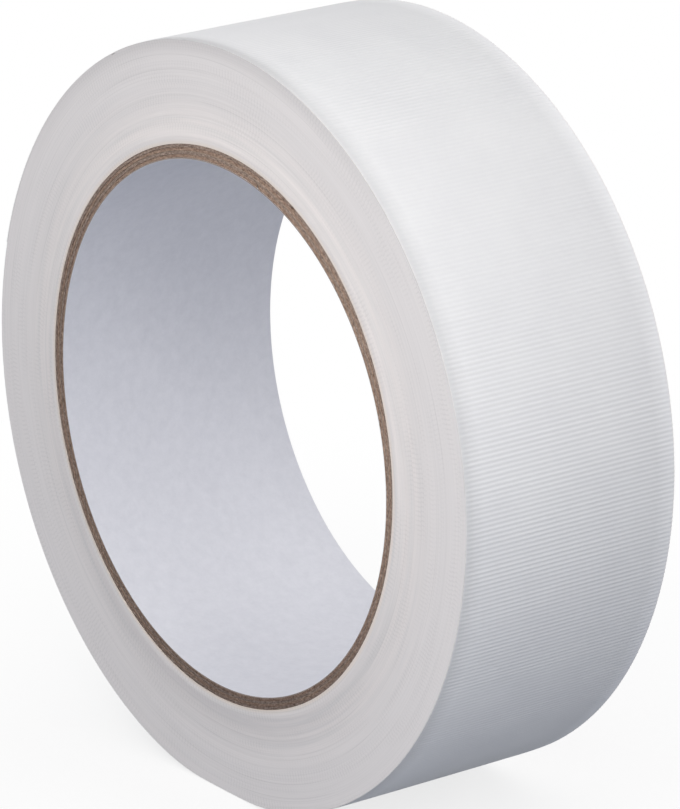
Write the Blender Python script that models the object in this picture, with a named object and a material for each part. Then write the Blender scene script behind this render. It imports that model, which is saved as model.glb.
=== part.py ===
"""Roll of plastering tape: one strip of white film wound on a spiral paper core.

Metres, +Z up. The roll stands on its tread, with its axis along Y and its front face at -Y.
The origin lies on the floor below the middle of the roll. Angles are counted in the XZ plane,
from +X towards +Z, and a turn is such an angle that keeps growing as the strip winds on.
"""

import bisect
import math

import bmesh
import bpy
from mathutils import Vector

# Paper core
CORE_BORE_DIAMETER = 0.0762
LINER_THICKNESS = 0.00014
KRAFT_PLY_COUNT = 4
KRAFT_PLY_THICKNESS = 0.00042
GLUE_GAP = 0.00002
PAPER_STRIP_WIDTH = 0.140
SEAM_GAP = 0.0003
SEAM_TIP = 0.0004
LINER_SEAM_ANGLE = math.radians(-40)
SEAM_STAGGER = math.radians(116)

# Wound tape
TAPE_WIDTH = 0.037
TAPE_THICKNESS = 0.00013
LAYER_GAP = 0.00002
ROLL_DIAMETER = 0.1094
SHOULDER_RADIUS = 0.0018
SHOULDER_ANGLE = math.radians(45)
REST_FLAT_DEPTH = 0.0005

# Free end of the tape
FREE_EDGE_ANGLE = math.radians(165)
END_LENGTH = 0.036
PEEL_GAP = 0.0001
LAP_GAP = 0.0005

# Fineness of the round surfaces
FACETS = 96
SHOULDER_STEPS = 2
SHARP_ANGLE = math.radians(35)

# Colours, as linear red, green and blue
LINER_WHITE = (0.72, 0.73, 0.79)
KRAFT_BROWN = (0.23, 0.165, 0.125)
EDGE_WHITE = (0.74, 0.72, 0.72)
FILM_WHITE = (0.80, 0.81, 0.83)

TAU = 2 * math.pi
FACET = TAU / FACETS
FRONT = -TAPE_WIDTH / 2
BACK = TAPE_WIDTH / 2
ROLL_RADIUS = ROLL_DIAMETER / 2
TAPE_PITCH = TAPE_THICKNESS + LAYER_GAP
SHOULDER_REACH = SHOULDER_RADIUS * math.sin(SHOULDER_ANGLE)

# The last turn of the strip runs from the lap to the free edge, which lies over the lap.
FREE_EDGE_TURN = FREE_EDGE_ANGLE + TAU
LAP_TURN = FREE_EDGE_ANGLE + LAP_GAP / ROLL_RADIUS
ROOT_TURN = FREE_EDGE_TURN - END_LENGTH / ROLL_RADIUS
DOWN_TURN = LAP_TURN + (1.5 * math.pi - LAP_TURN) % TAU


def spiral_radius(turn):
    """Radius of the strip's outer surface, growing by one layer a turn."""
    return ROLL_RADIUS - TAPE_PITCH * (LAP_TURN + TAU - turn) / TAU


# The roll rests on a narrow flat, so its axis is a little lower than its radius.
AXIS_HEIGHT = spiral_radius(DOWN_TURN) - REST_FLAT_DEPTH
FLAT_HALF_ANGLE = math.acos(AXIS_HEIGHT / spiral_radius(DOWN_TURN))


def fold_lines():
    """Turns at which every round surface of the roll has a facet line, over four turns."""
    flat_ends = (1.5 * math.pi - FLAT_HALF_ANGLE, 1.5 * math.pi + FLAT_HALF_ANGLE)
    even = [index * FACET for index in range(FACETS)]
    clear = [line for line in even if min(abs(line - end) for end in flat_ends) > FACET / 4]
    one_turn = sorted([*clear, *flat_ends])
    return [line + lap * TAU for lap in range(-1, 3) for line in one_turn]


LINES = fold_lines()


def turns_between(start, end):
    """Start, end and the facet lines between them."""
    inner = [line for line in LINES if start + FACET / 100 < line < end - FACET / 100]
    return [start, *inner, end]


def tread_radius(turn, depth):
    """Radius, on a facet line, of the surface lying at a depth under the tread."""
    radius = spiral_radius(turn) - depth
    downward = -math.sin(turn)
    if downward > math.cos(2 * FLAT_HALF_ANGLE):
        radius = min(radius, (AXIS_HEIGHT - depth) / downward)
    return radius


def faceted_point(turn, across, radius_on):
    """Point at a turn and a place across the roll, straight between two facet lines."""
    after = bisect.bisect_right(LINES, turn)
    first, last = LINES[after - 1], LINES[after]
    share = (turn - first) / (last - first)
    ends = [Vector((math.cos(line), 0, math.sin(line))) * radius_on(line) for line in (first, last)]
    point = ends[0].lerp(ends[1], share)
    point.y = across
    return point


def core_point(turn, across, radius):
    return faceted_point(turn, across, lambda line: radius)


def tape_point(turn, across, depth):
    return faceted_point(turn, across, lambda line: tread_radius(line, depth))


def tape_profile(depth):
    """Places across the roll, front to back, with the depth that the curled shoulders give each."""
    radius = SHOULDER_RADIUS - depth
    lean = math.asin(SHOULDER_REACH / radius)
    leans = [lean * (1 - step / SHOULDER_STEPS) for step in range(SHOULDER_STEPS + 1)]
    rise = [(SHOULDER_REACH - radius * math.sin(a), depth + radius * (1 - math.cos(a))) for a in leans]
    front = [(FRONT + inset, fall) for inset, fall in rise]
    back = [(BACK - inset, fall) for inset, fall in reversed(rise)]
    return front + back


def tape_line(turn, depth):
    return [tape_point(turn, across, fall) for across, fall in tape_profile(depth)]


def strip_section(turn):
    """Closed outline of the strip where a plane through the axis cuts it."""
    return tape_line(turn, 0) + tape_line(turn, TAPE_THICKNESS)[::-1]


def strip_sections(start, end):
    return [strip_section(turn) for turn in turns_between(start, end)]


def loft(sections, closed=False):
    """Skin over a row of outlines with equal counts of points, capped unless it closes on itself."""
    mesh = bmesh.new()
    rings = [[mesh.verts.new(point) for point in section] for section in sections]
    following = rings[1:] + rings[:1] if closed else rings[1:]
    for ring, next_ring in zip(rings, following):
        for index in range(len(ring)):
            mesh.faces.new((ring[index - 1], ring[index], next_ring[index], next_ring[index - 1]))
    if not closed:
        mesh.faces.new(rings[0])
        mesh.faces.new(rings[-1])
    bmesh.ops.recalc_face_normals(mesh, faces=mesh.faces)
    return mesh


def finish(name, colour, roughness):
    material = bpy.data.materials.new(name)
    material.use_nodes = True
    shader = material.node_tree.nodes["Principled BSDF"]
    shader.inputs["Base Color"].default_value = (*colour, 1)
    shader.inputs["Roughness"].default_value = roughness
    shader.inputs["Metallic"].default_value = 0
    return material


def add_piece(name, mesh, colour, roughness, axis, place=(0, 0, 0)):
    """Object on the roll's axis, or at another place given from that axis."""
    bmesh.ops.translate(mesh, verts=mesh.verts, vec=-Vector(place))
    data = bpy.data.meshes.new(name)
    mesh.to_mesh(data)
    mesh.free()
    data.materials.append(finish(name, colour, roughness))
    data.shade_smooth()
    data.set_sharp_from_angle(angle=SHARP_ANGLE)
    piece = bpy.data.objects.new(name, data)
    piece.parent = axis
    piece.location = place
    bpy.context.scene.collection.objects.link(piece)
    return piece


def add_axis():
    axis = bpy.data.objects.new("roll_axis", None)
    axis.location = (0, 0, AXIS_HEIGHT)
    bpy.context.scene.collection.objects.link(axis)
    return axis


def core_ply_mesh(inner_radius, thickness, seam_angle):
    """Paper strip wound once round on a helix, so that its edges meet in a slanting butt seam."""
    girth = TAU * (inner_radius + thickness / 2)
    helix_pitch = PAPER_STRIP_WIDTH / math.sqrt(1 - (PAPER_STRIP_WIDTH / girth) ** 2)
    sweep = TAU * TAPE_WIDTH / helix_pitch
    half_gap = SEAM_GAP / math.cos(math.atan(helix_pitch / girth)) / 2
    rate = TAPE_WIDTH / sweep

    def seam_at(turned):
        return FRONT + rate * turned

    def section(turn):
        turned = turn - seam_angle
        low = max(FRONT, seam_at(turned - TAU) + half_gap)
        high = min(BACK, seam_at(turned) - half_gap)
        radii = (inner_radius, inner_radius + thickness)
        corners = ((radii[0], low), (radii[1], low), (radii[1], high), (radii[0], high))
        return [core_point(turn, across, radius) for radius, across in corners]

    start = seam_angle + (SEAM_TIP + half_gap) / rate
    full = seam_angle + sweep + half_gap / rate
    narrowing = seam_angle + TAU - half_gap / rate
    end = seam_angle + TAU + sweep - (SEAM_TIP + half_gap) / rate
    turns = turns_between(start, full) + turns_between(full, narrowing)[1:] + turns_between(narrowing, end)[1:]
    return loft([section(turn) for turn in turns])


def add_core(axis):
    """White liner and brown board plies, glued one round the other. Returns the core's outer radius."""
    radius = CORE_BORE_DIAMETER / 2
    mesh = core_ply_mesh(radius, LINER_THICKNESS, LINER_SEAM_ANGLE)
    add_piece("core_liner", mesh, LINER_WHITE, 0.75, axis)
    radius += LINER_THICKNESS + GLUE_GAP
    for ply in range(1, KRAFT_PLY_COUNT + 1):
        seam_angle = (LINER_SEAM_ANGLE + ply * SEAM_STAGGER) % TAU
        mesh = core_ply_mesh(radius, KRAFT_PLY_THICKNESS, seam_angle)
        add_piece(f"core_ply_{ply}", mesh, KRAFT_BROWN, 0.9, axis)
        radius += KRAFT_PLY_THICKNESS + GLUE_GAP
    return radius - GLUE_GAP


def add_pack(axis, core_radius):
    """Buried turns, as one ring whose outline has the step where the outer turn starts."""
    bore_radius = core_radius + GLUE_GAP
    lap_step = LAP_GAP / 2 / ROLL_RADIUS

    def section(turn):
        bore = [core_point(turn, across, bore_radius) for across in (BACK, FRONT)]
        return tape_line(turn, TAPE_PITCH) + bore

    turns = turns_between(LAP_TURN, LAP_TURN + TAU - lap_step)
    mesh = loft([section(turn) for turn in turns], closed=True)
    add_piece("tape_pack", mesh, EDGE_WHITE, 0.55, axis)


def add_strip(axis):
    """Last turn of the strip: the part that stays on the roll and the end that peels off it."""
    gap = PEEL_GAP / ROLL_RADIUS
    laid = strip_sections(LAP_TURN + gap, ROOT_TURN - gap)
    end = strip_sections(ROOT_TURN, FREE_EDGE_TURN)
    add_piece("tape_outer_turn", loft(laid), FILM_WHITE, 0.4, axis)
    peel_line = tape_point(ROOT_TURN, 0, 0)
    add_piece("tape_end", loft(end), FILM_WHITE, 0.4, axis, peel_line)
    print(f"least gap of the wound strip to itself: {least_gap(laid + end) * 1000:.2f} mm")


def least_gap(sections):
    """Least distance between points of the strip that lie at least half a turn apart along it."""
    half = len(sections) // 2
    pairs = ((a, b) for index, a in enumerate(sections) for b in sections[index + half :])
    return min((p - q).length for a, b in pairs for p in a for q in b)


def main():
    for item in list(bpy.data.objects):
        bpy.data.objects.remove(item)
    axis = add_axis()
    core_radius = add_core(axis)
    add_pack(axis, core_radius)
    add_strip(axis)


main()
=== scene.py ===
import math

import bmesh
import bpy
import numpy as np
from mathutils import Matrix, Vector


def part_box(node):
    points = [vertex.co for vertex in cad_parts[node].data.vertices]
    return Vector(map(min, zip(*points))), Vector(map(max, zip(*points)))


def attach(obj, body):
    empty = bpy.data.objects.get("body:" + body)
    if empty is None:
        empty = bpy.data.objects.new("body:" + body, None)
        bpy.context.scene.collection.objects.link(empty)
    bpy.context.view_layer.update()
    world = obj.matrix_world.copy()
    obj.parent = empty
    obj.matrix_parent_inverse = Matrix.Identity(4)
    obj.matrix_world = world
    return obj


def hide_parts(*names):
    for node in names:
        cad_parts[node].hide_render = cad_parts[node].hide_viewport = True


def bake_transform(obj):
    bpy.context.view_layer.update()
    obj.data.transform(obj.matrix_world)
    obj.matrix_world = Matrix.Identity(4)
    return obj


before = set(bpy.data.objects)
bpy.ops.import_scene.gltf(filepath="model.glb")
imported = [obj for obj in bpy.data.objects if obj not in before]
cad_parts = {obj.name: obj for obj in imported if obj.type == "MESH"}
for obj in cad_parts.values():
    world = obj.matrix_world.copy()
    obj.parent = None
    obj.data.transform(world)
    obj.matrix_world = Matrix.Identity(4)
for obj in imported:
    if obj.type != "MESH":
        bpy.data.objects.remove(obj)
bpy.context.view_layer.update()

TAU = 2 * math.pi
MM = 0.001

# The roll's axis runs along Y through the middle of the bore, and its front face looks towards -Y.
AXIS_HEIGHT = sum(corner.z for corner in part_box("core_liner")) / 2
AXIS = Vector((0, 0, AXIS_HEIGHT))
HALF_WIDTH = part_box("tape_pack")[1].y

# Wound tape
ROLL_RADIUS = 54.7 * MM
TAPE_THICKNESS = 0.13 * MM
LAYER_GAP = 0.02 * MM
TAPE_PITCH = TAPE_THICKNESS + LAYER_GAP
FILM_INSET = 0.57 * MM
GLUE_MARGIN = 0.1 * MM

# Ribs across the film, of slightly unlike height, which almost die out along its front edge
RIB_PITCH = 0.66 * MM
RIB_HEIGHT = 0.055 * MM
RIB_UNEVENNESS = 0.15
RIB_FADE = 0.5 * MM
FADED_RIB = 0.1
POINTS_PER_RIB = 6

# Lines of points along the film's ribbed and glued sides, as distances from both ends of the core
RIBBED_INSETS = np.array((0.9, 1.4, 2.0, 3.0, 6.0, 11.0)) * MM
GLUED_INSETS = np.array((2.0, 11.0)) * MM

# The tread is a slight barrel, which falls off a little more along both edges.
# Its fall grows with the square of the distance from the middle, all in metres.
BARREL_RISE = 0.21 * MM
BARREL_CURVE = 0.1
SHOULDER_WIDTH = 3.0 * MM
SHOULDER_FALL = 0.1 * MM

# The outer turns give way where the roll stands.
FLAT_DEPTH = ROLL_RADIUS - AXIS_HEIGHT
FLAT_SPREAD = math.radians(8.5)
FLAT_REACH = 6 * MM

# Both side faces fall back towards the rim: distance from the axis in mm, and slope into the face.
FACE_SLOPES = (
    (40.0, 0.0),
    (40.9, 0.0),
    (41.4, 0.20),
    (46.5, 0.0),
    (54.6, 0.0),
)
FACE_SAMPLES = 500
FIRST_TURN_DEPTH = 0.02 * MM
TURN_JITTER = 0.008 * MM

# The ring of buried turns ends in a rim of fewer lines, and goes on under the film.
WOUND_COLUMNS = 360
RIM_DEPTH = 0.9 * MM
RIM_STEPS = 5
RIM_CLEARANCE = 0.003 * MM
UNDER_FILM_INSETS = np.array((2.0, 9.0)) * MM

# Shade of the film across the roll, from the front end of the core (0) to its back end (1): the cut edges
# in the side faces' tone, painted shade in a band along the front edge, and painted light in a band along
# the back edge
FILM_SHADES = (
    (0.0156, (1.05, 1.01, 0.985)),
    (0.017, (0.90, 0.90, 0.90)),
    (0.03, (0.90, 0.90, 0.90)),
    (0.055, (0.97, 0.97, 0.97)),
    (0.1, (1.04, 1.04, 1.04)),
    (0.5, (1.0, 1.0, 1.0)),
    (0.9, (0.965, 0.965, 0.965)),
    (0.95, (1.045, 1.045, 1.045)),
    (0.975, (1.09, 1.09, 1.09)),
    (0.983, (1.09, 1.09, 1.09)),
    (0.9844, (1.05, 1.01, 0.985)),
)

# Painted shade along the front rim, most of all at one turn
PAINTED_RIM_SHADE_TURN = math.radians(98)
PAINTED_RIM_SHADE_DIRECTION = (math.cos(PAINTED_RIM_SHADE_TURN), 0, math.sin(PAINTED_RIM_SHADE_TURN))
PAINTED_RIM_SHADE_WIDTH = 2.4 * MM
PAINTED_RIM_SHADE_SHARE = 0.28
PAINTED_RIM_SHADE_COLOUR = (0.38, 0.37, 0.38)

# Marks on the side faces: rows of dashes, thin arcs, and a warm tint of the first turns from the board
DASH_LENGTH = 0.7 * MM
DASH_STRENGTH = 0.075
ARC_SPACING = 2.08 * MM
ARC_STRENGTH = 0.10
MARK_COLOUR = (0.15, 0.14, 0.14)
WARM_WIDTH = 0.7 * MM
WARM_TINT = (1.02, 0.96, 0.88)

# Paper core, slightly out of round: swelling in mm as cosines and sines of one, two and three turns.
# Each cut edge is given as shares of the thickness with their depth in mm.
BORE_RADIUS = 38.1 * MM
LINER_THICKNESS = 0.14 * MM
PLY_THICKNESS = 0.42 * MM
GLUE_GAP = 0.02 * MM
PLY_COUNT = 4
CORE_RADIUS = BORE_RADIUS + LINER_THICKNESS + PLY_COUNT * (PLY_THICKNESS + GLUE_GAP)
CORE_SWELL = ((-0.22, 0.31), (-0.15, 0.17), (-0.10, 0.06))
BORE_SWELL = ((0.03, 0.11),)
ROUND_RADIUS = ROLL_RADIUS - 2 * MM
LINER_CUT = ((0.0, 0.03), (0.04, 0.03), (0.96, 0.03), (1.0, 0.03))
BOARD_CUT = ((0.0, 0.0), (0.3, 0.01), (0.7, 0.04), (1.0, 0.08))
BOARD_ROUGHNESS = 0.03 * MM
PAPER_COLUMNS = 720
PALE_PLY = 2

# The cut board's shading leans outwards by this slope, and its fibres stand up by this height.
EDGE_LEAN = 0.27
FIBRE_HEIGHT = 0.05 * MM

# Seams of the paper strips, the lining's first. A strip's pointed ends are left off near the seam,
# for a number of half gaps, and no strip is narrower than twice the tip width.
PAPER_STRIP_WIDTH = 140 * MM
SEAM_GAPS = (0.08 * MM, 0.05 * MM, 0.05 * MM, 0.05 * MM, 0.3 * MM)
LINER_SEAM_ANGLE = math.radians(-40)
SEAM_STAGGER = math.radians(116)
TIP_HALF_GAPS = 2.5
TIP_WIDTH = 0.005 * MM

# Turns are angles counted from +X towards +Z that keep growing as the strip winds on.
# The free end has a short stretch that stays on the roll, and the outer turn starts under its own end.
LAP_GAP = 0.5 * MM
END_LENGTH = 36 * MM
FIXED_LENGTH = 5 * MM
TUCK_LENGTH = 4 * MM
BEND_LENGTH = 1 * MM
FREE_EDGE_TURN = math.radians(165) + TAU
LAP_TURN = FREE_EDGE_TURN - TAU + LAP_GAP / ROLL_RADIUS
ROOT_TURN = FREE_EDGE_TURN - END_LENGTH / ROLL_RADIUS
STRIP_CUT_TURN = ROOT_TURN - FIXED_LENGTH / ROLL_RADIUS
TUCK_TURN = STRIP_CUT_TURN - TAU - TUCK_LENGTH / ROLL_RADIUS
DOWN_TURN = 1.5 * math.pi

# Edges sharper than this stay sharp in the shading.
SHARP_ANGLE = math.radians(50)

# The camera, from the outlines in the photograph of 680 by 809 pixels
CAMERA_AZIMUTH = math.radians(52.94)
CAMERA_ELEVATION = math.radians(18.83)
CAMERA_DISTANCE = 14.882 * ROLL_RADIUS
CAMERA_ASIDE = 0.0380 * ROLL_RADIUS
CAMERA_RAISED = -0.0003 * ROLL_RADIUS
FOCAL_PIXELS = 5791.2
IMAGE_HEIGHT = 809
SENSOR = 36.0

# Softboxes: place, width and power
SOFTBOXES = {
    "front_high": ((0.10, -0.20, 0.28), 0.20, 0.303),
    "front_right": ((0.22, -0.20, 0.14), 0.15, 0.200),
    "right": ((0.30, -0.05, 0.065), 0.12, 0.149),
    "left": ((-0.30, -0.15, 0.08), 0.20, 0.188),
    "left_high": ((-0.25, 0.0, 0.40), 0.35, 0.222),
    "back_high": ((0.0, 0.25, 0.40), 0.35, 0.244),
    "back_right": ((0.20, 0.10, 0.25), 0.15, 0.046),
    "back_low": ((0.0, 0.32, 0.06), 0.15, 0.415),
}
LAMP_COLOUR = (1.0, 0.980, 0.943)
SKY_COLOUR = (0.908, 0.930, 0.985)
SKY_STRENGTH = 0.4085
FLOOR_SIZE = 8
FLOOR_COLOUR = (0.13, 0.16, 0.22)
SHADOW_REACH = 0.16
SHADOW_SHARE = 0.24

rng = np.random.default_rng(7)


# Node helpers

def node(tree, kind, inputs=None, **settings):
    """New node whose inputs are linked where a socket is given and set where a value is."""
    made = tree.nodes.new(kind)
    for name, value in settings.items():
        setattr(made, name, value)
    for key, value in (inputs or {}).items():
        if isinstance(value, bpy.types.NodeSocket):
            tree.links.new(value, made.inputs[key])
        else:
            made.inputs[key].default_value = value
    return made


def math_node(tree, operation, first, second=0.0):
    return node(tree, "ShaderNodeMath", {0: first, 1: second}, operation=operation).outputs[0]


def noise(tree, vector, scale=1.0, detail=2.0, roughness=0.5):
    inputs = {"Vector": vector, "Scale": scale, "Detail": detail, "Roughness": roughness}
    return node(tree, "ShaderNodeTexNoise", inputs).outputs["Fac"]


def ramp(tree, factor, *stops):
    """Colour that goes through (place, colour) stops as the factor grows."""
    made = node(tree, "ShaderNodeValToRGB", {"Fac": factor})
    elements = made.color_ramp.elements
    while len(elements) < len(stops):
        elements.new(1.0)
    for element, (place, colour) in zip(elements, stops):
        element.position = place
        element.color = (*colour, 1)
    return made.outputs["Color"]


def grey(level):
    return (level, level, level)


def mix(tree, factor, first, second, mode="MIX"):
    made = node(tree, "ShaderNodeMix", data_type="RGBA", blend_type=mode)
    for key, value in ((0, factor), (6, first), (7, second)):
        if isinstance(value, bpy.types.NodeSocket):
            tree.links.new(value, made.inputs[key])
        else:
            made.inputs[key].default_value = value if key == 0 else (*value, 1)
    return made.outputs[2]


def new_material(name, roughness, specular):
    material = bpy.data.materials.new(name)
    material.use_nodes = True
    tree = material.node_tree
    shader = tree.nodes["Principled BSDF"]
    shader.inputs["Roughness"].default_value = roughness
    shader.inputs["Specular IOR Level"].default_value = specular
    return material, tree, shader


def attribute(tree, name):
    return node(tree, "ShaderNodeAttribute", attribute_name=name).outputs["Fac"]


def bump(tree, height, distance, strength=1.0):
    inputs = {"Height": height, "Distance": distance, "Strength": strength}
    return node(tree, "ShaderNodeBump", inputs).outputs["Normal"]


def roll_coordinates(tree):
    """Distance from the axis, direction from it, and plain place."""
    place = node(tree, "ShaderNodeTexCoord").outputs["Object"]
    from_axis = node(tree, "ShaderNodeVectorMath", {0: place, 1: AXIS}, operation="SUBTRACT").outputs[0]
    inputs = {0: from_axis, 1: (1, 0, 1)}
    flat = node(tree, "ShaderNodeVectorMath", inputs, operation="MULTIPLY").outputs[0]
    radius = node(tree, "ShaderNodeVectorMath", {0: flat}, operation="LENGTH").outputs["Value"]
    direction = node(tree, "ShaderNodeVectorMath", {0: flat}, operation="NORMALIZE").outputs[0]
    return radius, direction, place


def polar_vector(tree, radius, direction, per_metre, per_turn):
    """Texture vector with its own steps along the radius and, without a seam, round the roll."""
    parts = node(tree, "ShaderNodeSeparateXYZ", {0: direction}).outputs
    inputs = {
        "X": math_node(tree, "MULTIPLY", parts["X"], per_turn),
        "Y": math_node(tree, "MULTIPLY", radius, per_metre),
        "Z": math_node(tree, "MULTIPLY", parts["Z"], per_turn),
    }
    return node(tree, "ShaderNodeCombineXYZ", inputs).outputs[0]


def painted_rim_shade(tree, direction, inset, spread_from, solid):
    """Share of painted shade along the front rim, most of all near the top of the roll."""
    inputs = {0: direction, 1: PAINTED_RIM_SHADE_DIRECTION}
    spread = node(tree, "ShaderNodeVectorMath", inputs, operation="DOT_PRODUCT")
    round_share = ramp(tree, spread.outputs["Value"], (spread_from, grey(0.0)), (1.0, grey(1.0)))
    depth = math_node(tree, "DIVIDE", inset, PAINTED_RIM_SHADE_WIDTH)
    inset_share = ramp(tree, depth, (solid, grey(1.0)), (1.0, grey(0.0)))
    share = math_node(tree, "MULTIPLY", round_share, inset_share)
    return math_node(tree, "MULTIPLY", share, PAINTED_RIM_SHADE_SHARE)


# Materials

def film_material():
    """White plastic film, satin, with painted shade in its rib valleys, along its front edge and on the
    top of its front rim, painted light along its back edge, and duller where the glue is.
    """
    material, tree, shader = new_material("ribbed_film", 0.55, 0.35)
    inputs = {"X": attribute(tree, "along"), "Y": attribute(tree, "across")}
    place = node(tree, "ShaderNodeCombineXYZ", inputs).outputs[0]
    clouds = noise(tree, place, 90, 3)
    colour = ramp(tree, clouds, (0.3, (0.80, 0.80, 0.815)), (0.7, (0.835, 0.835, 0.845)))
    # Painted shade in the valleys between the ribs
    shade = ramp(tree, attribute(tree, "rib"), (0.0, (0.97, 0.97, 0.975)), (1.0, grey(1.0)))
    colour = mix(tree, 1.0, colour, shade, "MULTIPLY")
    # Painted light and shade across the film: darker along the front edge, lighter along the back edge
    from_middle = math_node(tree, "DIVIDE", attribute(tree, "across"), 2 * HALF_WIDTH)
    painted_light_and_shade = ramp(tree, math_node(tree, "ADD", from_middle, 0.5), *FILM_SHADES)
    colour = mix(tree, 1.0, colour, painted_light_and_shade, "MULTIPLY")
    _, direction, _ = roll_coordinates(tree)
    inset = math_node(tree, "ADD", attribute(tree, "across"), HALF_WIDTH)
    # Painted shade on the film along the top of the front rim
    colour = mix(tree, painted_rim_shade(tree, direction, inset, spread_from=0.88, solid=0.6), colour, PAINTED_RIM_SHADE_COLOUR)
    colour = mix(tree, attribute(tree, "glue"), colour, (0.74, 0.73, 0.69))
    tree.links.new(colour, shader.inputs["Base Color"])
    tree.links.new(bump(tree, noise(tree, place, 9000), 0.004 * MM, 0.5), shader.inputs["Normal"])
    return material


def rib_ends(tree, radius, direction):
    """Dark dashes where the ends of the ribs show, in rows that start at places of their own."""
    parts = node(tree, "ShaderNodeSeparateXYZ", {0: direction}).outputs
    turn = math_node(tree, "ARCTAN2", parts["Z"], parts["X"])
    drift = noise(tree, polar_vector(tree, radius, direction, 0, 12), 1.0, 1)
    rows = math_node(tree, "ADD", math_node(tree, "DIVIDE", radius, DASH_LENGTH), drift)
    row = math_node(tree, "FLOOR", rows)
    rate = math_node(tree, "MULTIPLY", row, TAU * DASH_LENGTH / RIB_PITCH)
    ribs = math_node(tree, "MULTIPLY", turn, rate)
    start = node(tree, "ShaderNodeTexWhiteNoise", {"W": row}, noise_dimensions="1D").outputs["Value"]
    phase = math_node(tree, "ADD", ribs, math_node(tree, "MULTIPLY", start, TAU))
    dashes = math_node(tree, "MAXIMUM", math_node(tree, "SINE", phase), 0.0)
    patches = noise(tree, polar_vector(tree, radius, direction, 500, 4), 1.0, 2)
    return math_node(tree, "MULTIPLY", dashes, ramp(tree, patches, (0.42, grey(0.0)), (0.64, grey(1.0))))


def thin_arcs(tree, radius, direction):
    """Fine dark lines along single turns, each for a part of the way round."""
    drift = noise(tree, polar_vector(tree, radius, direction, 60, 0.8), 1.0, 0)
    shift = math_node(tree, "MULTIPLY", drift, 0.5)
    place = math_node(tree, "ADD", math_node(tree, "DIVIDE", radius, ARC_SPACING), shift)
    away = math_node(tree, "ABSOLUTE", math_node(tree, "SUBTRACT", math_node(tree, "FRACT", place), 0.5))
    line = ramp(tree, away, (0.015, grey(1.0)), (0.04, grey(0.0)))
    shown = noise(tree, polar_vector(tree, radius, direction, 480, 2.6), 1.0, 1)
    return math_node(tree, "MULTIPLY", line, ramp(tree, shown, (0.42, grey(0.0)), (0.62, grey(1.0))))


def edges_material():
    """Stacked film edges: streaks that fade 43 to 49 mm from the axis, fine turns, arcs, rib ends, and
    painted shade along the top of the front rim.
    """
    material, tree, shader = new_material("film_edges", 0.6, 0.3)
    radius, direction, _ = roll_coordinates(tree)
    streaks = noise(tree, polar_vector(tree, radius, direction, 850, 1.3), 1.0, 4, 0.6)
    turns = noise(tree, polar_vector(tree, radius, direction, 6600, 1.5), 1.0, 1)
    decimetres = math_node(tree, "MULTIPLY", radius, 10)
    near_core = ramp(tree, decimetres, (0.43, grey(1.0)), (0.49, grey(0.15)))
    colour = ramp(tree, streaks, (0.36, (0.882, 0.843, 0.830)), (0.6, (0.962, 0.907, 0.887)))
    colour = mix(tree, near_core, (0.937, 0.898, 0.890), colour)
    colour = mix(tree, 1.0, colour, ramp(tree, turns, (0.3, grey(0.965)), (0.6, grey(1.01))), "MULTIPLY")
    colour = mix(tree, attribute(tree, "warm"), colour, WARM_TINT, "MULTIPLY")
    lines = math_node(tree, "MULTIPLY", thin_arcs(tree, radius, direction), ARC_STRENGTH)
    dashes = math_node(tree, "MULTIPLY", rib_ends(tree, radius, direction), DASH_STRENGTH)
    colour = mix(tree, math_node(tree, "ADD", lines, dashes), colour, MARK_COLOUR)
    inset = math_node(tree, "SUBTRACT", ROLL_RADIUS, radius)
    # Painted shade on the side face along the top of the front rim
    colour = mix(tree, painted_rim_shade(tree, direction, inset, spread_from=0.6, solid=0.1), colour, PAINTED_RIM_SHADE_COLOUR)
    tree.links.new(colour, shader.inputs["Base Color"])
    tree.links.new(bump(tree, turns, 0.02 * MM, 0.5), shader.inputs["Normal"])
    return material


def board_material():
    """Raw cut edge of brown board: fibres lying along the plies, with dark specks."""
    material, tree, shader = new_material("kraft_board", 0.95, 0.15)
    radius, direction, place = roll_coordinates(tree)
    fibres = noise(tree, polar_vector(tree, radius, direction, 6000, 60), 1.0, 3, 0.65)
    specks = noise(tree, place, 2600, 2, 0.6)
    colour = ramp(tree, fibres, (0.33, (0.205, 0.141, 0.111)), (0.67, (0.530, 0.412, 0.348)))
    tint = ramp(tree, attribute(tree, "ply"), (0.0, (0.96, 0.98, 1.0)), (1.0, (1.06, 1.0, 0.95)))
    colour = mix(tree, 1.0, colour, tint, "MULTIPLY")
    pale = math_node(tree, "MULTIPLY", attribute(tree, "pale"), 0.75)
    colour = mix(tree, pale, colour, (0.56, 0.47, 0.39))
    dark = ramp(tree, specks, (0.35, (0.72, 0.70, 0.68)), (0.6, (1.05, 1.03, 1.0)))
    colour = mix(tree, 1.0, colour, dark, "MULTIPLY")
    tree.links.new(colour, shader.inputs["Base Color"])
    lean = math_node(tree, "MULTIPLY", radius, -EDGE_LEAN)
    height = math_node(tree, "ADD", math_node(tree, "MULTIPLY", fibres, FIBRE_HEIGHT), lean)
    tree.links.new(bump(tree, height, 1.0), shader.inputs["Normal"])
    return material


def paper_material():
    """White lining paper with a faint cloudy formation and a brown cut edge."""
    material, tree, shader = new_material("lining_paper", 0.4, 0.6)
    place = node(tree, "ShaderNodeTexCoord").outputs["Object"]
    clouds = noise(tree, place, 600, 5, 0.75)
    colour = ramp(tree, clouds, (0.3, (0.688, 0.693, 0.747)), (0.7, (0.758, 0.761, 0.814)))
    colour = mix(tree, attribute(tree, "cut"), colour, (0.30, 0.235, 0.20))
    tree.links.new(colour, shader.inputs["Base Color"])
    grain = noise(tree, place, 5200, 3, 0.6)
    tree.links.new(bump(tree, grain, 0.015 * MM, 0.6), shader.inputs["Normal"])
    return material


# Mesh helpers

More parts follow.
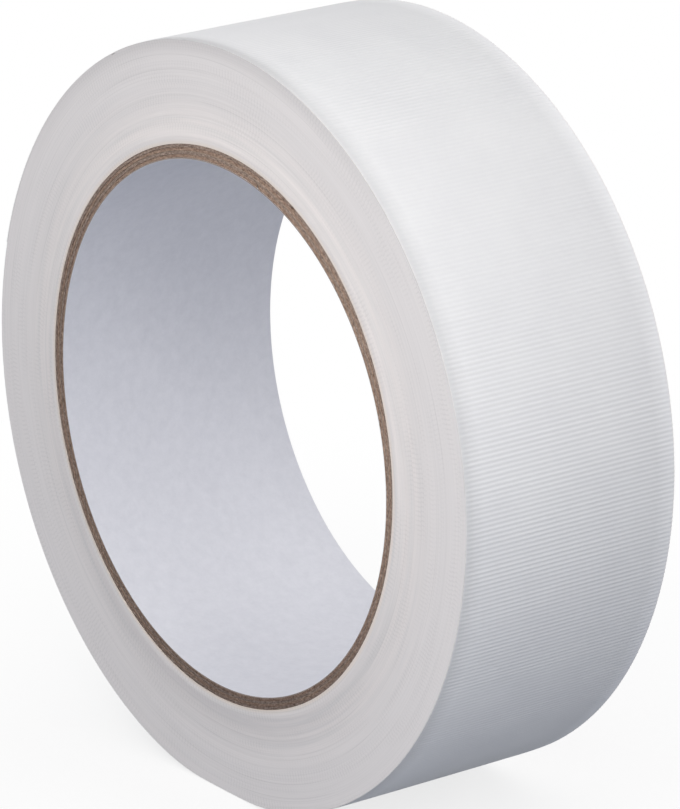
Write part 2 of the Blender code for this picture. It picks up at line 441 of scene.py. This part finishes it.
def sweep(name, sections, material, closed=False, values=None):
    """Closed skin over sections of equal point counts, with named values at the points."""
    rows, count = sections.shape[:2]
    ids = np.arange(rows * count).reshape(rows, count)
    beside = np.roll(ids, -1, axis=1)
    ahead = np.roll(ids, -1, axis=0)
    ahead_beside = np.roll(beside, -1, axis=0)
    last = rows if closed else rows - 1
    quads = np.stack([ids[:last], beside[:last], ahead_beside[:last], ahead[:last]], axis=-1)
    faces = quads.reshape(-1, 4).tolist()
    if not closed:
        faces += [ids[0].tolist(), ids[-1].tolist()]
    mesh = bpy.data.meshes.new(name)
    mesh.from_pydata(sections.reshape(-1, 3).tolist(), [], faces)
    for key, table in (values or {}).items():
        layer = mesh.attributes.new(key, "FLOAT", "POINT")
        layer.data.foreach_set("value", np.broadcast_to(table, (rows, count)).astype(np.float32).ravel())
    shape = bmesh.new()
    shape.from_mesh(mesh)
    bmesh.ops.recalc_face_normals(shape, faces=shape.faces)
    shape.to_mesh(mesh)
    shape.free()
    mesh.shade_smooth()
    mesh.set_sharp_from_angle(angle=SHARP_ANGLE)
    mesh.materials.append(material)
    piece = bpy.data.objects.new(name, mesh)
    bpy.context.scene.collection.objects.link(piece)
    return piece


def swell(turn, harmonics):
    """Departure from a true circle at a turn."""
    terms = [a * np.cos(n * turn) + b * np.sin(n * turn) for n, (a, b) in enumerate(harmonics, 1)]
    return sum(terms) * MM


def flat_cut(turn):
    """How much the roll's radius loses over the flat on which it stands."""
    away = np.arccos(np.clip(-np.sin(turn), -1, 1)) / FLAT_SPREAD
    return FLAT_DEPTH * np.exp(-away**2)


def place_on_roll(turn, across, radius):
    """World points, with the core and the turns on it out of round, and the outer turns flatter below."""
    turn, across, radius = np.broadcast_arrays(turn, across, radius)
    core_share = np.interp(radius, [BORE_RADIUS, CORE_RADIUS, ROUND_RADIUS], [0, 1, 0])
    bore_share = np.interp(radius, [BORE_RADIUS, CORE_RADIUS], [1, 0])
    flat_share = np.interp(radius, [ROLL_RADIUS - FLAT_REACH, ROLL_RADIUS], [0, 1])
    radius = radius + core_share * swell(turn, CORE_SWELL) + bore_share * swell(turn, BORE_SWELL)
    radius = radius - flat_share * flat_cut(turn)
    return np.stack([radius * np.cos(turn), across, AXIS_HEIGHT + radius * np.sin(turn)], axis=-1)


# Wound tape

def spiral_radius(turn):
    """Radius of the strip's outer face, growing by one layer a turn."""
    return ROLL_RADIUS - TAPE_PITCH * (LAP_TURN + TAU - turn) / TAU


def tread_fall(across):
    """How far the barrel and its shoulders lie under the roll's radius."""
    shoulder = np.clip((np.abs(across) - HALF_WIDTH) / SHOULDER_WIDTH + 1, 0, 1)
    return BARREL_CURVE * across**2 - BARREL_RISE + SHOULDER_FALL * shoulder**2


def film_line(insets):
    """Places across the film, front to back, with its edges first and last."""
    inset = np.concatenate([[FILM_INSET], insets])
    return np.concatenate([inset - HALF_WIDTH, [0], HALF_WIDTH - inset[::-1]])


def rib_wave(turn):
    """Rib height from 0 to 1, with ribs of slightly unlike height."""
    phase = (turn - STRIP_CUT_TURN) * ROLL_RADIUS / RIB_PITCH
    rib = np.round(phase)
    height = 1 - RIB_UNEVENNESS * (1 - np.sin(2.4 * rib) * np.cos(1.7 * rib))
    return height * (0.5 + 0.5 * np.cos(TAU * phase))


def film_strip(name, start, end, material):
    """Stretch of the wound film, ribbed on its outer side."""
    columns = round((end - start) * ROLL_RADIUS / RIB_PITCH * POINTS_PER_RIB)
    turn = np.linspace(start, end, columns)[:, None]
    top = film_line(RIBBED_INSETS)
    low = film_line(GLUED_INSETS)
    across = np.concatenate([top, low[::-1]])
    outside = np.concatenate([np.ones(len(top)), np.zeros(len(low))])
    fall = tread_fall(across) + TAPE_THICKNESS * (1 - outside)
    ribbed = np.clip((HALF_WIDTH - FILM_INSET + across) / RIB_FADE, FADED_RIB, 1)
    ribs = 1 - (1 - rib_wave(turn)) * outside * ribbed
    radius = spiral_radius(turn) - fall - RIB_HEIGHT * (1 - ribs)
    glued = (1 - outside) * (np.abs(across) < HALF_WIDTH - FILM_INSET - GLUE_MARGIN)
    values = {"along": turn * ROLL_RADIUS, "across": across, "rib": ribs, "glue": glued}
    return sweep(name, place_on_roll(turn, across, radius), material, values=values)


def face_depth(radius):
    """How far the side face lies behind the end of the core at a distance from the axis."""
    place, slope = np.array(FACE_SLOPES).T
    fine = np.linspace(place[0], place[-1], FACE_SAMPLES)
    depth = np.cumsum(np.interp(fine, place, slope)) * (fine[1] - fine[0])
    return FIRST_TURN_DEPTH + np.interp(radius, fine * MM, depth * MM)


def wound_turns(material):
    """Buried turns as one ring, with a line of points for every turn on both faces."""
    turn = TUCK_TURN + np.arange(WOUND_COLUMNS)[:, None] * TAU / WOUND_COLUMNS
    film_fall = tread_fall(HALF_WIDTH - FILM_INSET) + TAPE_THICKNESS + RIM_CLEARANCE
    rim_radius = ROLL_RADIUS - film_fall - TAPE_PITCH
    rings = np.arange(CORE_RADIUS + LAYER_GAP, rim_radius - RIM_DEPTH, TAPE_PITCH)
    jitter = [rng.normal(0, TURN_JITTER, len(rings)) for _ in range(2)]
    faces = [HALF_WIDTH - np.abs(offset) - face_depth(rings) for offset in jitter]
    below = RIM_DEPTH * np.arange(RIM_STEPS)[::-1] / RIM_STEPS
    rim_inset = np.minimum(face_depth(rim_radius - below), FILM_INSET)
    inset = np.concatenate([rim_inset, UNDER_FILM_INSETS])
    rim = np.concatenate([inset - HALF_WIDTH, (HALF_WIDTH - inset)[::-1]])
    under_film = tread_fall(HALF_WIDTH - UNDER_FILM_INSETS) + TAPE_PITCH
    depth = np.concatenate([film_fall + below, under_film])
    rim_rows = spiral_radius(turn) - np.concatenate([depth, depth[::-1]])
    ring_rows = np.broadcast_to(rings, (WOUND_COLUMNS, len(rings)))
    across = np.concatenate([-faces[0], rim, faces[1][::-1]])
    radius = np.concatenate([ring_rows, rim_rows, ring_rows[:, ::-1]], axis=1)
    values = {"warm": np.interp(radius, [CORE_RADIUS, CORE_RADIUS + WARM_WIDTH], [1, 0])}
    return sweep("wound_turns", place_on_roll(turn, across, radius), material, closed=True, values=values)


# Paper core

def paper_ply(
    name, inner, thickness, seam_angle, seam_gap, material, cut, roughness=0.0, tint=0.0, pale=0.0
):
    """Paper strip wound once round on a helix, so that its edges meet in a slanting butt seam."""
    girth = TAU * (inner + thickness / 2)
    helix_pitch = PAPER_STRIP_WIDTH / math.sqrt(1 - (PAPER_STRIP_WIDTH / girth) ** 2)
    rate = helix_pitch / TAU
    half_gap = seam_gap / math.cos(math.atan(helix_pitch / girth)) / 2
    tip = TIP_HALF_GAPS * half_gap / rate
    turned = np.linspace(tip, TAU + 2 * HALF_WIDTH / rate - tip, PAPER_COLUMNS)[:, None]
    low = np.maximum(-HALF_WIDTH, -HALF_WIDTH + rate * (turned - TAU) + half_gap)
    high = np.minimum(HALF_WIDTH, -HALF_WIDTH + rate * turned - half_gap)
    share, depth = np.array(cut).T
    tuck = depth * MM
    rough = rng.normal(0, roughness, (len(turned), len(cut)))
    middle = (low + high) / 2
    front = np.minimum(low + tuck + np.abs(rough), middle - TIP_WIDTH)
    back = np.maximum(high - tuck - np.abs(rough[::-1]), middle + TIP_WIDTH)
    across = np.concatenate([front, back[:, ::-1]], axis=1)
    radius = inner + thickness * np.concatenate([share, share[::-1]])
    points = place_on_roll(seam_angle + turned, across, radius)
    outer_edges = np.array([0, 0, 0, 1, 1, 0, 0, 0])
    cut_faces = np.array([0, 1, 1, 0, 0, 1, 1, 0])
    values = {"ply": np.array([tint]), "pale": pale * outer_edges, "cut": cut_faces}
    return sweep(name, points, material, values=values)


# Stage

def seen_directly(tree):
    """1 for rays from the camera and for reflected or transmitted ones, 0 for the rest."""
    path = node(tree, "ShaderNodeLightPath").outputs
    seen = math_node(tree, "MAXIMUM", path["Is Camera Ray"], path["Is Transmission Ray"])
    return math_node(tree, "MAXIMUM", seen, path["Is Glossy Ray"])


def add_world():
    """White where it is seen or mirrored, and a soft even light to everything else."""
    world = bpy.data.worlds.new("studio")
    bpy.context.scene.world = world
    world.use_nodes = True
    tree = world.node_tree
    sky = node(tree, "ShaderNodeBackground", {"Color": (*SKY_COLOUR, 1), "Strength": SKY_STRENGTH})
    white = node(tree, "ShaderNodeBackground", {"Color": (1, 1, 1, 1), "Strength": 1.0})
    inputs = {0: seen_directly(tree), 1: sky.outputs[0], 2: white.outputs[0]}
    mixed = node(tree, "ShaderNodeMixShader", inputs)
    tree.links.new(mixed.outputs[0], tree.nodes["World Output"].inputs["Surface"])


def add_floor():
    """Pale floor that shows white, with the roll's shadow near it, and sends little light back up."""
    material, tree, shader = new_material("pale_floor", 1.0, 0.0)
    seen = seen_directly(tree)
    tree.links.new(mix(tree, seen, FLOOR_COLOUR, grey(1.0)), shader.inputs["Base Color"])
    place = node(tree, "ShaderNodeTexCoord").outputs["Object"]
    distance = node(tree, "ShaderNodeVectorMath", {0: place}, operation="LENGTH").outputs["Value"]
    reach = {"From Min": 0.0, "From Max": SHADOW_REACH, "To Min": 1 - SHADOW_SHARE, "To Max": 1.0}
    fade = node(tree, "ShaderNodeMapRange", {"Value": distance, **reach}, interpolation_type="SMOOTHSTEP")
    white = node(tree, "ShaderNodeEmission", {"Color": (1, 1, 1, 1), "Strength": 1.0})
    share = math_node(tree, "MULTIPLY", seen, fade.outputs[0])
    mixed = node(tree, "ShaderNodeMixShader", {0: share, 1: shader.outputs[0], 2: white.outputs[0]})
    tree.links.new(mixed.outputs[0], tree.nodes["Material Output"].inputs["Surface"])
    height = AXIS_HEIGHT - spiral_radius(DOWN_TURN) - BARREL_RISE + flat_cut(DOWN_TURN)
    bpy.ops.mesh.primitive_plane_add(size=FLOOR_SIZE, location=(0, 0, height))
    floor = bpy.context.object
    floor.name = "floor"
    floor.data.materials.append(material)


def add_lights():
    for name, (place, width, power) in SOFTBOXES.items():
        data = bpy.data.lights.new(name, "AREA")
        data.shape = "DISK"
        data.size = width
        data.energy = power
        data.color = LAMP_COLOUR
        lamp = bpy.data.objects.new(name, data)
        lamp.location = place
        lamp.rotation_mode = "QUATERNION"
        lamp.rotation_quaternion = (AXIS - Vector(place)).to_track_quat("-Z", "Y")
        lamp.visible_camera = False
        bpy.context.scene.collection.objects.link(lamp)


def add_camera():
    a, e = CAMERA_AZIMUTH, CAMERA_ELEVATION
    back = Vector((math.sin(a) * math.cos(e), -math.cos(a) * math.cos(e), math.sin(e)))
    right = Vector((math.cos(a), math.sin(a), 0))
    up = right.cross(-back)
    data = bpy.data.cameras.new("camera")
    data.sensor_width = SENSOR
    data.lens = FOCAL_PIXELS * SENSOR / IMAGE_HEIGHT
    camera = bpy.data.objects.new("camera", data)
    camera.location = AXIS + CAMERA_DISTANCE * back + CAMERA_ASIDE * right + CAMERA_RAISED * up
    camera.rotation_mode = "QUATERNION"
    camera.rotation_quaternion = (-back).to_track_quat("-Z", "Y")
    bpy.context.scene.collection.objects.link(camera)
    bpy.context.scene.camera = camera


# Assembly

def carry(piece, node_name):
    """Sets a piece on the roll in the place of a solid."""
    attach(piece, "roll")
    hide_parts(node_name)


def add_tape():
    film = film_material()
    carry(film_strip("outer_turn", TUCK_TURN, STRIP_CUT_TURN, film), "tape_outer_turn")
    carry(wound_turns(edges_material()), "tape_pack")

    end = film_strip("free_end", STRIP_CUT_TURN, FREE_EDGE_TURN, film)
    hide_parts("tape_end")
    root = place_on_roll(ROOT_TURN, 0, ROLL_RADIUS).tolist()
    bend = place_on_roll(ROOT_TURN + BEND_LENGTH / ROLL_RADIUS, 0, ROLL_RADIUS).tolist()
    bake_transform(end)


def add_core():
    board = board_material()
    paper = paper_material()
    seam = (LINER_SEAM_ANGLE, SEAM_GAPS[0])
    lining = paper_ply("bore_lining", BORE_RADIUS, LINER_THICKNESS, *seam, paper, LINER_CUT)
    carry(lining, "core_liner")
    inner = BORE_RADIUS + LINER_THICKNESS + GLUE_GAP
    for ply in range(1, PLY_COUNT + 1):
        seam = (LINER_SEAM_ANGLE + ply * SEAM_STAGGER, SEAM_GAPS[ply])
        look = (board, BOARD_CUT, BOARD_ROUGHNESS, ply % 2, ply == PALE_PLY)
        strip = paper_ply(f"board_ply_{ply}", inner, PLY_THICKNESS, *seam, *look)
        carry(strip, f"core_ply_{ply}")
        inner += PLY_THICKNESS + GLUE_GAP


add_tape()
add_core()
add_world()
add_floor()
add_lights()
add_camera()
bpy.context.scene.view_settings.view_transform = "Standard"
